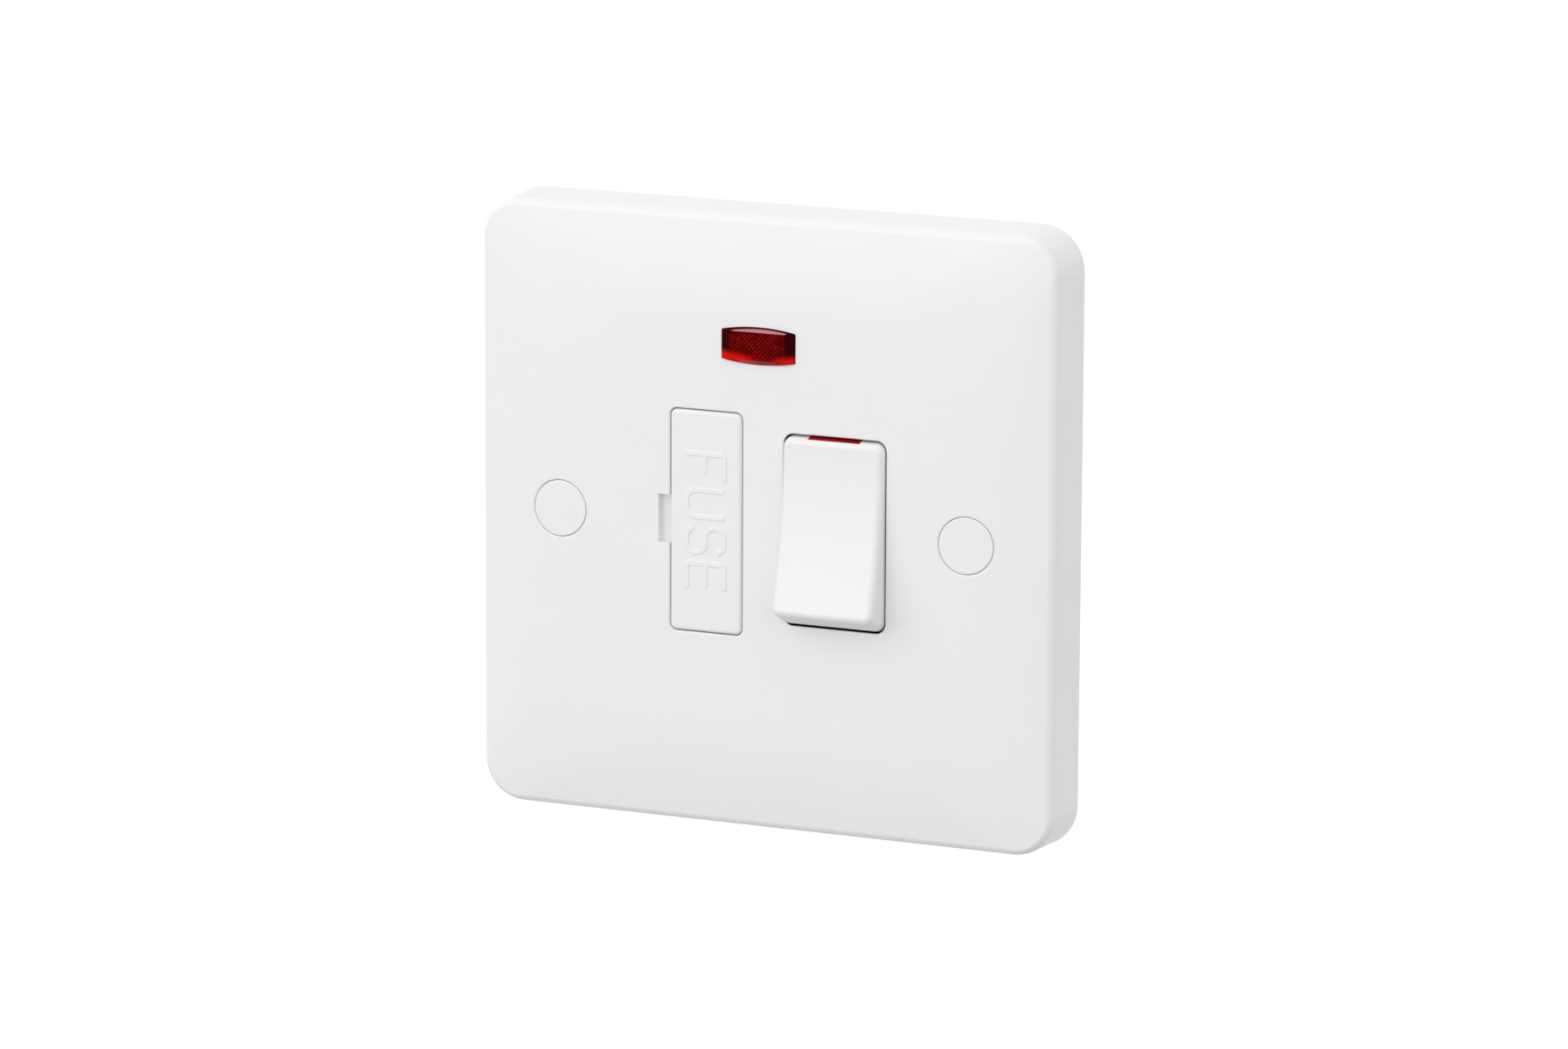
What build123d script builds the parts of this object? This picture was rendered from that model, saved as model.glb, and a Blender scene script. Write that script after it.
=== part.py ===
from build123d import *
import os
from math import asin, cos, degrees, radians, sin, sqrt, tan

# Switched fused connection unit for a one-gang wall box.
# +X is right and +Z is up as the user sees it, and the face looks along -Y.
# The origin is the middle of the plate's back, on the wall plane, so depth behind the wall is +Y.
# Lengths are in millimetres and angles in degrees.

# Front plate
plate_side = 86.0
plate_corner = 6.2
plate_crown = 10.0
plate_rim = 8.6
face_fall = 15.0
flat_corner = 18.0
crown_levels = 6
plate_edge = 1.4
rim_band = 4.5
plate_draft = 3.0
plate_wall = 2.2
plate_front = 2.5
opening_edge = 0.25

# Fixing screws and their covers
fixing_pitch = 60.3
fixing_hole = 4.0
fixing_head = 7.0
fixing_seat = 3.5
fixing_boss = 9.4
boss_rib = 1.6
boss_rib_depth = 5.0
cover_diameter = 7.85
cover_thickness = 1.2
cover_plug = 6.6
cover_plug_wall = 0.8
cover_plug_length = 2.6
cover_gap = 0.07
cover_edge = 0.2

# Rocker, a slice of a round bar about its pivot
rocker_x = 10.95
rocker_width = 14.8
rocker_pivot_depth = 3.0
rocker_end_radius = 13.3
rocker_rise = 4.9
rocker_dish = 75.0
rocker_tilt = 9.5
rocker_corner = 1.3
rocker_edge = 0.9
rocker_wall = 1.5
rocker_face = 1.8
rocker_skirt = 1.0
rocker_side_gap = 0.15
rocker_end_gap = 0.3
stub_diameter = 3.0
stub_length = 1.5
stub_gap = 0.05
ear_thickness = 1.4
ear_height = 6.4
ear_cover = 0.7
finger_gap = 0.1
flag_width = 7.65
flag_thickness = 0.5
flag_start = 2.0
flag_end = 24.4

# Plungers and springs inside the rocker
pole_pitch = 6.6
guide_diameter = 4.6
guide_bore = 3.2
guide_reach = 4.0
guide_top = 2.9
plunger_diameter = 3.0
plunger_tip = 2.0
plunger_top = 0.8
plunger_shoulder = 7.0
plunger_reach = 10.0
plunger_nose = 0.6
spring_diameter = 2.6
spring_wire = 0.4
spring_turns = 4
spring_gap = 0.05

# Rocking contacts
contact_width = 3.2
contact_thickness = 0.8
contact_length = 11.0
contact_bend = 8.5
contact_swing = 8.0
contact_tip_place = 10.0
tip_diameter = 2.4
tip_thickness = 0.6
plunger_gap = 0.12
contact_gap = 0.12
fulcrum_gap = 0.12
fulcrum_height = 3.6

# Conductor strips
strip_thickness = 0.8
strip_width = 3.2
link_width = 4.4
strip_lap = 2.0
strip_gap = 0.05

# Fuse, its clips and its carrier
fuse_x = -8.1
fuse_length = 25.4
fuse_diameter = 6.35
fuse_cap_length = 6.2
fuse_cap_wall = 0.17
fuse_cap_gap = 0.02
clip_thickness = 0.6
clip_width = 4.4
clip_place = 9.8
clip_side_gap = 0.08
clip_floor_gap = 0.3
clip_rise = 1.2
clip_lip = 1.5
clip_flare = 20.0
carrier_width = 10.6
carrier_gap = 0.15
carrier_corner = 0.9
carrier_edge = 0.5
carrier_proud = 0.15
carrier_front = 2.2
carrier_pull = 0.8
cradle_width = 9.2
cradle_wall = 1.3
cradle_height = 9.0
cradle_gap = 0.05
cradle_grip = 1.2
saddle_place = 3.2
saddle_thickness = 1.4
leg_width = 6.0
leg_thickness = 1.5
leg_inset = 0.25
leg_fuse_gap = 0.95
barb_reach = 1.2
barb_length = 1.6
barb_gap = 0.05
notch_width = 1.7
notch_height = 6.7
notch_depth = 1.1

# Neon indicator
lens_x = -0.35
lens_z = 25.0
lens_width = 10.75
lens_height = 3.9
lens_bow = 0.56
lens_proud = 0.6
lens_facet_width = 1.3
lens_facet_depth = 0.42
lens_gap = 0.1
lens_flange = 0.8
lens_flange_thickness = 1.0
lens_flange_gap = 0.03
bulb_diameter = 4.2
bulb_length = 11.0
bulb_wall = 0.5
bulb_end_wall = 1.0
bulb_shoulder = 0.9
bulb_depth = 6.8
bulb_seat_gap = 0.05
bulb_rib = 1.4
bulb_rib_place = 3.5
electrode_diameter = 0.8
electrode_length = 7.2
electrode_offset = 0.8
lead_diameter = 0.6
lead_bend = 0.7
lead_out = 0.9
lead_z = 19.5
lead_hole_gap = 0.02
lead_end_gap = 0.02
resistor_diameter = 2.2
resistor_length = 5.6
resistor_x = 10.4
link_lead_x = -0.15

# Terminals
terminal_width = 6.6
terminal_length = 7.6
terminal_front_wall = 0.9
terminal_rear_wall = 2.4
conductor_hole = 4.2
conductor_depth = 6.8
earth_pitch = 6.2
terminal_gap = 0.1
terminal_screw = 3.0
terminal_screw_gap = 0.05
terminal_head = 5.2
terminal_head_height = 1.6
terminal_head_lift = 0.4
terminal_tip_lift = 0.35
screw_slot = 0.8
screw_slot_depth = 0.8
screw_well = 6.4
wire_entry = 5.4
left_terminal_x = -17.0
right_terminal_x = 17.5
supply_live_x = 6.0

# Rear body
body_boss_gap = 0.45
body_top = 30.5
body_bottom = -28.5
body_corner = 2.5
body_wall = 2.0
body_floor = 2.3
body_front_gap = 0.15
well_gap = 0.3
pole_well_gap = 0.5
rocker_well_floor = -1.0
neon_well_width = 14.0
neon_well_floor = 1.2
lead_channel = 1.4
core_wall = 2.2
core_width = 4.6
core_length = 11.0
core_corner = 1.1
core_rib = 1.6
post_diameter = 5.0
post_gap = 0.1
post_end = 3.0
body_screw = 2.9
body_screw_gap = 0.05
body_screw_head = 5.4
body_screw_head_height = 2.0
body_screw_recess = 3.6
body_screw_seat = 12.0
body_screw_length = 14.0
body_screw_pocket = 6.2
top_screw_x = 10.45
top_screw_z = 24.3
bottom_screw_x = -5.5
bottom_screw_z = -22.5

# Planes and places worked out from the sizes above
plate_half = plate_side / 2
face_y = -plate_crown
plate_back = face_y + plate_front
rim_half = plate_half - plate_rim * tan(radians(plate_draft))
rim_corner = plate_corner - plate_half + rim_half
flat_half = rim_half - face_fall
face_drop = plate_crown - plate_rim
fall_radius = (face_fall ** 2 + face_drop ** 2) / (2 * face_drop)
rim_slope = degrees(asin(face_fall / fall_radius))
pivot_y = face_y + rocker_pivot_depth
bearing_radius = stub_diameter / 2 + stub_gap
opening_width = rocker_width + 2 * rocker_side_gap
opening_radius = rocker_end_radius + rocker_end_gap
carrier_height = fuse_length + 2 * (leg_fuse_gap + leg_thickness + leg_inset)
carrier_opening_width = carrier_width + 2 * carrier_gap
carrier_opening_height = carrier_height + 2 * carrier_gap
poles = {"live": rocker_x - pole_pitch / 2, "neutral": rocker_x + pole_pitch / 2}

contact_lean = contact_bend - contact_swing
contact_y = pivot_y + plunger_reach + plunger_gap + contact_thickness / cos(radians(contact_bend))
closed_tip_y = contact_y - contact_tip_place * sin(radians(contact_lean)) + tip_thickness
fixed_tip_y = closed_tip_y + contact_gap
strip_front = fixed_tip_y + tip_thickness
strip_rear = strip_front + strip_thickness
contact_tip_z = contact_tip_place * cos(radians(contact_lean))

barrel_radius = fuse_diameter / 2 - fuse_cap_wall - fuse_cap_gap
fuse_y = strip_front - clip_thickness - clip_floor_gap - fuse_diameter / 2
carrier_travel = plate_crown + fuse_y + fuse_diameter / 2 + carrier_pull
barb_front = plate_back + carrier_travel + barb_gap
leg_end = barb_front + barb_length
leg_inner = fuse_length / 2 + leg_fuse_gap
leg_outer = leg_inner + leg_thickness

conductor_y = strip_rear + terminal_front_wall + conductor_hole / 2
terminal_rear = strip_rear + terminal_front_wall + conductor_hole + terminal_rear_wall
body_rear = terminal_rear + body_floor
body_front = plate_back + body_front_gap
body_half_width = (fixing_pitch - fixing_boss) / 2 - body_boss_gap
terminal_top_z = body_top - body_wall - terminal_gap - terminal_length
terminal_bottom_z = body_bottom + body_wall + terminal_gap + terminal_length
terminal_left_x = -body_half_width + body_wall + terminal_gap + terminal_length
bulb_y = face_y + bulb_depth
top_spots = [(side * top_screw_x, top_screw_z) for side in (-1, 1)]
body_screw_spots = [*top_spots, (bottom_screw_x, bottom_screw_z)]

rocker_place = Pos(rocker_x, pivot_y, 0) * Rot(-rocker_tilt, 0, 0)

# Each terminal: its inner end's place and turn about Y, and its conductor holes across its width
terminals = {
    "supply_live_terminal": (Pos(supply_live_x, 0, terminal_bottom_z) * Rot(0, 180, 0), [0]),
    "supply_neutral_terminal": (Pos(right_terminal_x, 0, terminal_bottom_z) * Rot(0, 180, 0), [0]),
    "load_live_terminal": (Pos(left_terminal_x, 0, terminal_bottom_z) * Rot(0, 180, 0), [0]),
    "load_neutral_terminal": (Pos(right_terminal_x, 0, terminal_top_z), [0]),
    "earth_terminal": (Pos(terminal_left_x, 0, 0) * Rot(0, -90, 0), [-earth_pitch / 2, earth_pitch / 2]),
}


def along_x(profile, left, right):
    """Extrude a profile drawn in Y and Z from one X to another."""
    return extrude(Plane.YZ.offset(left) * profile, amount=right - left)


def along_y(profile, front, rear):
    """Extrude a profile drawn in X and Z from one Y to another."""
    return extrude(Plane.XZ.offset(-rear) * profile, amount=rear - front)


def along_z(profile, low, high):
    """Extrude a profile drawn in X and Y from one Z to another."""
    return extrude(Plane.XY.offset(low) * profile, amount=high - low)


def block(x, y, z):
    """Box between a low and a high value on each axis."""
    size = Box(x[1] - x[0], y[1] - y[0], z[1] - z[0])
    return Pos((x[0] + x[1]) / 2, (y[0] + y[1]) / 2, (z[0] + z[1]) / 2) * size


def about(middle, half):
    """Low and high value of a span about its middle."""
    return middle - half, middle + half


# Shapes that several pieces share

def crowned_block(shift):
    """Block with a flat middle whose face falls away along arcs, with corners that tighten outwards."""
    levels = []
    for level in range(crown_levels + 1):
        share = level / crown_levels
        half = flat_half + share * face_fall
        drop = fall_radius - sqrt(fall_radius ** 2 - (share * face_fall) ** 2)
        corner = flat_corner + share * (rim_corner - flat_corner)
        outline = RectangleRounded(2 * half, 2 * half, corner)
        levels.append(Plane.XZ.offset(plate_crown - shift - drop) * outline)
    whole = about(0, plate_half)
    return loft(levels) + block(whole, (shift - plate_rim, 0), whole)


def rim_block():
    """Drafted square block with a rounded edge, whose top slopes as the crowned face does at its rim."""
    wall_outline = Plane.XZ * RectangleRounded(plate_side, plate_side, plate_corner)
    lower = extrude(wall_outline, plate_rim, taper=plate_draft)
    rise = rim_band * tan(radians(rim_slope))
    rim_outline = Plane.XZ.offset(plate_rim) * RectangleRounded(2 * rim_half, 2 * rim_half, rim_corner)
    shell = lower + extrude(rim_outline, rise, taper=90 - rim_slope)
    edge = [side for side in shell.edges() if abs(side.center().Y + plate_rim) < plate_edge / 10]
    shell = fillet(edge, plate_edge)
    top = 2 * (rim_half - rim_band)
    cap = RectangleRounded(top, top, rim_corner - rim_band)
    return shell + along_y(cap, face_y - rise, -plate_rim - rise)


def drafted_square(side, corner):
    """Rounded square that grows from the wall plane to past the face with the moulding's draft."""
    outline = Plane.XZ * RectangleRounded(side, side, corner)
    return extrude(outline, plate_crown + plate_front, taper=plate_draft)


def rounded_bar(radius, width, corner):
    """Round bar along X about the pivot, with its rims rounded."""
    bar = along_x(Circle(radius), -width / 2, width / 2)
    return fillet(bar.edges().filter_by(GeomType.CIRCLE), corner)


def lens_outline(margin_x, margin_z):
    """Barrel-shaped outline with straight ends and bowed long sides."""
    x = lens_width / 2 + margin_x
    z = lens_height / 2 + margin_z
    top = ThreePointArc((-x, z), (0, z + lens_bow), (x, z))
    bottom = mirror(top, about=Plane.XZ)
    ends = [Line((side * x, -z), (side * x, z)) for side in (-1, 1)]
    return make_face([*top.edges(), *bottom.edges(), *ends[0].edges(), *ends[1].edges()])


# Front plate and screw covers

def make_front_plate():
    """Hollow moulded plate with its bosses, posts, bearing ears and openings."""
    plate = rim_block() & crowned_block(0)
    inner_side = plate_side - 2 * plate_wall
    hollow = drafted_square(inner_side, plate_corner - plate_wall) & crowned_block(plate_front)
    plate -= hollow
    filling = drafted_square(inner_side, plate_corner - plate_wall)

    bosses = Part()
    for side in (-1, 1):
        x = side * fixing_pitch / 2
        bosses += Pos(x, 0, 0) * along_y(Circle(fixing_boss / 2), plate_back, 0)
        ribs = about(x + side * plate_half / 2, plate_half / 2)
        bosses += block(ribs, (plate_back, plate_back + boss_rib_depth), about(0, boss_rib / 2)) & filling
    plate += bosses & (hollow + crowned_block(plate_front))
    for x, z in body_screw_spots:
        plate += Pos(x, 0, z) * along_y(Circle(post_diameter / 2), plate_back, post_end)
        pilot = Circle(body_screw / 2 + body_screw_gap)
        plate -= Pos(x, 0, z) * along_y(pilot, body_screw_seat - body_screw_length, post_end)

    for side in (-1, 1):
        x = side * fixing_pitch / 2
        plate -= Pos(x, 0, 0) * along_y(Circle(fixing_hole / 2), face_y, 0)
        plate -= Pos(x, 0, 0) * along_y(Circle(fixing_head / 2), face_y, -fixing_seat)
        recess = Circle(cover_diameter / 2 + cover_gap)
        plate -= Pos(x, 0, 0) * along_y(recess, face_y, face_y + cover_thickness)
        near = about(0, cover_diameter)
        around_cover = block(about(x, cover_diameter), (2 * face_y, face_y + cover_thickness / 2), near)
        plate = fillet([edge for edge in plate.edges() if around_cover.is_inside(edge.center())], cover_edge)

    plate -= Pos(lens_x, 0, lens_z) * along_y(lens_outline(lens_gap, lens_gap), face_y, plate_back)
    carrier_opening = RectangleRounded(
        carrier_opening_width, carrier_opening_height, carrier_corner + carrier_gap
    )
    plate -= Pos(fuse_x, 0, 0) * along_y(carrier_opening, face_y, plate_back)
    opening_corner = rocker_corner + rocker_side_gap
    plate -= Pos(rocker_x, pivot_y, 0) * rounded_bar(opening_radius, opening_width, opening_corner)
    around_openings = block(
        (fuse_x - carrier_width, rocker_x + rocker_width), (2 * face_y, 0), about(0, lens_z - lens_height)
    )
    face_edges = plate.faces().sort_by(Axis.Y)[0].edges()
    lip = [edge for edge in face_edges if around_openings.is_inside(edge.center())]
    plate = fillet(lip, opening_edge)
    notch_right = fuse_x - carrier_opening_width / 2
    notch = (notch_right - notch_width, notch_right + opening_edge)
    plate -= block(notch, (face_y, face_y + notch_depth), about(0, notch_height / 2))

    for side in (-1, 1):
        inner = rocker_x + side * opening_width / 2
        ear = about(inner + side * ear_thickness / 2, ear_thickness / 2)
        ear_rear = pivot_y + bearing_radius + ear_cover
        plate += block(ear, (plate_back, ear_rear), about(0, ear_height / 2))
        plate -= Pos(0, pivot_y, 0) * along_x(Circle(bearing_radius), ear[0], ear[1])
        plate -= block(ear, (pivot_y, ear_rear), about(0, bearing_radius))
    return plate


def make_screw_cover(side):
    """Push-in cover whose top follows the crowned face."""
    centre = Pos(side * fixing_pitch / 2, 0, 0)
    plug_front = face_y + cover_thickness
    disc = centre * along_y(Circle(cover_diameter / 2), face_y, plug_front) & crowned_block(0)
    walls = disc.faces().filter_by(GeomType.CYLINDER)
    rim = [edge for wall in walls for edge in wall.edges() if edge.center().Y < face_y + cover_thickness / 2]
    disc = fillet(rim, cover_edge)
    plug = Circle(cover_plug / 2) - Circle(cover_plug / 2 - cover_plug_wall)
    return disc + centre * along_y(plug, plug_front, plug_front + cover_plug_length)


# Rocker and what it carries

def make_flag():
    """Red inlay on the rocker's top end, in the rocker's own level frame."""
    ring = Circle(rocker_end_radius) - Circle(rocker_end_radius - flag_thickness)
    start = Vector(0, 2 * rocker_end_radius).rotate(Axis.Z, flag_start)
    end = Vector(0, 2 * rocker_end_radius).rotate(Axis.Z, flag_end)
    wedge = make_face(Polyline((0, 0), start, end, (0, 0)).edges())
    return along_x(ring & wedge, -flag_width / 2, flag_width / 2)


def make_rocker():
    """Hollow dished rocker with pivot stubs and a guide for each plunger, in its own level frame."""
    across = about(0, rocker_width)
    ahead = block(across, (-rocker_end_radius, rocker_skirt), about(0, rocker_end_radius))
    rocker = rounded_bar(rocker_end_radius, rocker_width, rocker_corner) & ahead
    dish = Pos(-rocker_rise - rocker_dish, 0) * Circle(rocker_dish)
    rocker -= along_x(dish, -rocker_width, rocker_width)
    dished = rocker.faces().sort_by_distance((0, -rocker_rise, 0))[0]
    rocker = fillet(dished.edges(), rocker_edge)

    inner_width = rocker_width - 2 * rocker_wall
    inner_front = -rocker_rise + rocker_face
    room = along_x(Circle(rocker_end_radius - rocker_wall), -inner_width / 2, inner_width / 2)
    rocker -= room & block(across, (inner_front, rocker_skirt), about(0, rocker_end_radius))
    for side in (-1, 1):
        x = side * pole_pitch / 2
        rocker += Pos(x, 0, 0) * along_y(Circle(guide_diameter / 2), inner_front, guide_reach)
        rocker -= Pos(x, 0, 0) * along_y(Circle(guide_bore / 2), -guide_top, guide_reach)
        wall = side * rocker_width / 2
        stub = sorted((wall - side * rocker_wall, wall + side * stub_length))
        rocker += along_x(Circle(stub_diameter / 2), stub[0], stub[1])
    return rocker - make_flag()


def make_plungers():
    """Blunt-nosed plungers in the rocker's guides, in its level frame."""
    nose = along_y(Circle(plunger_tip / 2), plunger_shoulder, plunger_reach)
    nose = chamfer(nose.edges().group_by(Axis.Y)[-1], plunger_nose)
    plunger = along_y(Circle(plunger_diameter / 2), plunger_top, plunger_shoulder) + nose
    return [Pos(side * pole_pitch / 2, 0, 0) * plunger for side in (-1, 1)]


def make_springs():
    """Coil springs between the guides' ends and the plungers, in the rocker's level frame."""
    length = guide_top + plunger_top - 2 * spring_gap - spring_wire
    radius = (spring_diameter - spring_wire) / 2
    path = Helix(pitch=length / spring_turns, height=length, radius=radius)
    section = Plane(path @ 0, z_dir=path % 0) * Rectangle(spring_wire, spring_wire)
    coil = sweep(section, path=path, is_frenet=True)
    turned = Rot(-90, 0, 0) * coil
    start = -guide_top + spring_gap + spring_wire / 2
    return [Pos(side * pole_pitch / 2, start, 0) * turned for side in (-1, 1)]


# Switch contacts

def contact_place(pole):
    """Where a rocking contact sits with the switch off."""
    return Pos(poles[pole], contact_y, 0) * Rot(contact_swing, 0, 0)


def make_moving_contact(pole):
    """Bar bent about its middle, which rocks on the fulcrum behind it."""
    bend = radians(contact_bend)
    rear = Vector(-contact_length * sin(bend), contact_length * cos(bend))
    front = rear + Vector(-contact_thickness * cos(bend), -contact_thickness * sin(bend))
    middle = (-contact_thickness / cos(bend), 0)
    upper = [(0, 0), (rear.X, rear.Y), (front.X, front.Y), middle]
    lower = [(front.X, -front.Y), (rear.X, -rear.Y), (0, 0)]
    profile = make_face(Polyline(*upper, *lower).edges())
    return contact_place(pole) * along_x(profile, -contact_width / 2, contact_width / 2)


def make_moving_tip(pole):
    """Contact button under the bar's upper end."""
    button = along_y(Circle(tip_diameter / 2), 0, tip_thickness)
    return contact_place(pole) * Rot(contact_bend, 0, 0) * Pos(0, 0, contact_tip_place) * button


def make_fixed_tips():
    """Contact buttons on the two fixed strips."""
    button = along_y(Circle(tip_diameter / 2), fixed_tip_y, strip_front)
    return [Pos(x, 0, contact_tip_z) * button for x in poles.values()]


def strip(x, z):
    """Flat length of conductor strip in the common strip plane."""
    return block(x, (strip_front, strip_rear), z)


def make_pivot_bracket(pole):
    """Supply strip with the fulcrum that the bar rocks on."""
    x = about(poles[pole], strip_width / 2)
    bracket = strip(x, (terminal_bottom_z - strip_lap, fulcrum_height / 2))
    return bracket + block(x, (contact_y + fulcrum_gap, strip_front), about(0, fulcrum_height / 2))


def make_live_fixed_contact():
    """Link from the live pole's button to the upper fuse clip."""
    left = fuse_x - fuse_diameter / 2
    right = poles["live"] + strip_width / 2
    return strip((left, right), about(clip_place, link_width / 2))


def make_neutral_fixed_contact():
    """Strip from the neutral pole's button to the load terminal."""
    low = clip_place - link_width / 2
    return strip(about(poles["neutral"], strip_width / 2), (low, terminal_top_z + strip_lap))


def make_load_live_strip():
    """Strip from the lower fuse clip round to the load terminal."""
    left = left_terminal_x - strip_width / 2
    right = fuse_x + fuse_diameter / 2
    across = strip((left, right), about(-clip_place, link_width / 2))
    down = strip(about(left_terminal_x, strip_width / 2), (terminal_bottom_z - strip_lap, -clip_place))
    return across + down


# Fuse, clips and carrier

def make_fuse_barrel():
    """Ceramic body of the cartridge fuse."""
    half = fuse_length / 2 - fuse_cap_wall - fuse_cap_gap
    return Pos(fuse_x, fuse_y, 0) * along_z(Circle(barrel_radius), -half, half)


def make_fuse_end_caps():
    """Pressed cups over the two ends of the barrel."""
    half = fuse_length / 2
    mouth = half - fuse_cap_length
    cup = along_z(Circle(fuse_diameter / 2), mouth, half)
    cup -= along_z(Circle(fuse_diameter / 2 - fuse_cap_wall), mouth, half - fuse_cap_wall)
    return [Pos(fuse_x, fuse_y, 0) * end for end in (cup, mirror(cup, about=Plane.XY))]


def make_fuse_clip(z):
    """Spring jaws that grip a fuse cap and open towards the face."""
    inner = fuse_diameter / 2 + clip_side_gap
    outer = inner + clip_thickness
    mouth = fuse_y - clip_rise
    floor = strip_front - clip_thickness
    from_mouth = (Align.CENTER, Align.MIN)
    around = Pos(0, mouth) * Rectangle(2 * outer, strip_front - mouth, align=from_mouth)
    trough = Pos(0, mouth) * Rectangle(2 * inner, floor - mouth, align=from_mouth)
    lip = Rectangle(clip_thickness, clip_lip, align=(Align.MIN, Align.MAX))
    right_lip = Pos(inner, mouth) * Rot(0, 0, clip_flare) * lip
    profile = around - trough + right_lip + mirror(right_lip, about=Plane.YZ)
    return Pos(fuse_x, 0, 0) * along_z(profile, z - clip_width / 2, z + clip_width / 2)


def make_fuse_carrier():
    """Pull-out drawer with a cradle for the fuse and a barbed leg at each end."""
    front_y = face_y - carrier_proud
    back_y = front_y + carrier_front
    face = along_y(RectangleRounded(carrier_width, carrier_height, carrier_corner), front_y, back_y)
    face = fillet(face.edges().group_by(Axis.Y)[0], carrier_edge)

    length = about(0, cradle_height / 2)
    between_cheeks = about(0, cradle_width / 2 - cradle_wall)
    cradle = block(about(0, cradle_width / 2), (back_y, fuse_y + cradle_grip), length)
    cradle -= block(between_cheeks, (back_y, fuse_y), length)
    for side in (-1, 1):
        saddle = about(side * saddle_place, saddle_thickness / 2)
        cradle += block(between_cheeks, (back_y, fuse_y), saddle)
    cradle -= Pos(0, fuse_y, 0) * along_z(Circle(barrel_radius + cradle_gap), length[0], length[1])
    carrier = face + cradle

    for side in (-1, 1):
        span = sorted((side * leg_inner, side * leg_outer))
        carrier += block(about(0, leg_width / 2), (back_y, leg_end), span)
        outer = side * leg_outer
        tip = side * (leg_outer + barb_reach)
        hook = Polyline((barb_front, outer), (barb_front, tip), (leg_end, outer), close=True)
        carrier += along_x(make_face(hook.edges()), -leg_width / 2, leg_width / 2)
    return Pos(fuse_x, 0, 0) * carrier


# Neon indicator

def make_neon_lens():
    """Lens with a flat front, sloping ends and sloping bowed sides, and a flange behind it."""
    front = face_y - lens_proud
    facet_rear = front + lens_facet_depth
    flange_front = plate_back + lens_flange_gap
    x = lens_width / 2
    z = lens_height / 2
    inner_x = x - lens_facet_width
    outer_z = z + lens_bow
    ends = Polyline(
        (-x, flange_front), (-x, facet_rear), (-inner_x, front),
        (inner_x, front), (x, facet_rear), (x, flange_front), close=True,
    )
    sides = Polyline(
        (flange_front, -outer_z), (facet_rear, -outer_z), (front, -z),
        (front, z), (facet_rear, outer_z), (flange_front, outer_z), close=True,
    )
    lens = along_y(lens_outline(0, 0), front, flange_front)
    lens &= along_z(make_face(ends.edges()), -outer_z, outer_z)
    lens &= along_x(make_face(sides.edges()), -x, x)
    flange = lens_outline(lens_flange, lens_flange)
    lens += along_y(flange, flange_front, flange_front + lens_flange_thickness)
    return Pos(lens_x, 0, lens_z) * lens


def make_neon_bulb():
    """Hollow glass envelope with a lead through each end."""
    half = bulb_length / 2
    bulb = along_x(Circle(bulb_diameter / 2), -half, half)
    bulb = chamfer(bulb.edges().filter_by(GeomType.CIRCLE), bulb_shoulder)
    bulb -= along_x(Circle(bulb_diameter / 2 - bulb_wall), -half + bulb_end_wall, half - bulb_end_wall)
    bulb -= along_x(Circle(lead_diameter / 2 + lead_hole_gap), -half, half)
    return Pos(0, bulb_y, lens_z) * bulb


def make_neon_electrodes():
    """Pair of rods that overlap side by side inside the bulb, each on its own foot."""
    inside = bulb_length / 2 - bulb_end_wall
    rods = []
    for side in (-1, 1):
        reach = sorted((side * inside, side * (inside - electrode_length)))
        rod = along_x(Circle(electrode_diameter / 2), reach[0], reach[1])
        rod = Pos(0, 0, side * electrode_offset) * rod
        foot = about(side * (inside - electrode_diameter / 2), electrode_diameter / 2)
        rise = sorted((-side * lead_diameter, side * electrode_offset))
        rod += block(foot, about(0, electrode_diameter / 2), rise)
        rods.append(Pos(0, bulb_y, lens_z) * rod)
    return rods


def make_neon_resistor():
    """Series resistor, lying across the body under the right-hand post."""
    resistor = along_x(Circle(resistor_diameter / 2), -resistor_length / 2, resistor_length / 2)
    return Pos(resistor_x, bulb_y, lead_z) * resistor


def lead(points):
    """Six-sided wire along straight runs joined by small bends."""
    path = FilletPolyline(*points, radius=lead_bend)
    section = RegularPolygon(lead_diameter / 2, 6)
    return sweep(Plane(path @ 0, z_dir=path % 0) * section, path=path)


def make_neon_leads():
    """Wires from the bulb to the live link, to the resistor and on to the load neutral."""
    bulb_end = bulb_length / 2 - bulb_end_wall
    turn = bulb_length / 2 + lead_out
    strip_y = strip_front - lead_end_gap
    to_link = lead([
        (-bulb_end, bulb_y, lens_z), (-turn, bulb_y, lens_z), (-turn, bulb_y, lead_z),
        (link_lead_x, bulb_y, lead_z), (link_lead_x, bulb_y, clip_place),
        (link_lead_x, strip_y, clip_place),
    ])
    to_resistor = lead([
        (bulb_end, bulb_y, lens_z), (turn, bulb_y, lens_z), (turn, bulb_y, lead_z),
        (resistor_x - resistor_length / 2, bulb_y, lead_z),
    ])
    to_neutral = lead([
        (resistor_x + resistor_length / 2, bulb_y, lead_z), (poles["neutral"], bulb_y, lead_z),
        (poles["neutral"], strip_y, lead_z),
    ])
    return [to_link, to_resistor, to_neutral]


# Terminals

def terminal_half(holes):
    """Half width of a terminal block with the given conductor holes."""
    return terminal_width / 2 + max(holes)


def make_terminal(place, holes):
    """Brass block with blind conductor holes and a tapped hole behind each."""
    size = about(0, terminal_half(holes))
    terminal = block(size, (strip_rear, terminal_rear), (0, terminal_length))
    for x in holes:
        bore = Pos(x, conductor_y) * Circle(conductor_hole / 2)
        terminal -= along_z(bore, terminal_length - conductor_depth, terminal_length)
        tapped = Circle(terminal_screw / 2 + terminal_screw_gap)
        terminal -= Pos(x, 0, terminal_length / 2) * along_y(tapped, conductor_y, terminal_rear)
    return place * terminal


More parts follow.
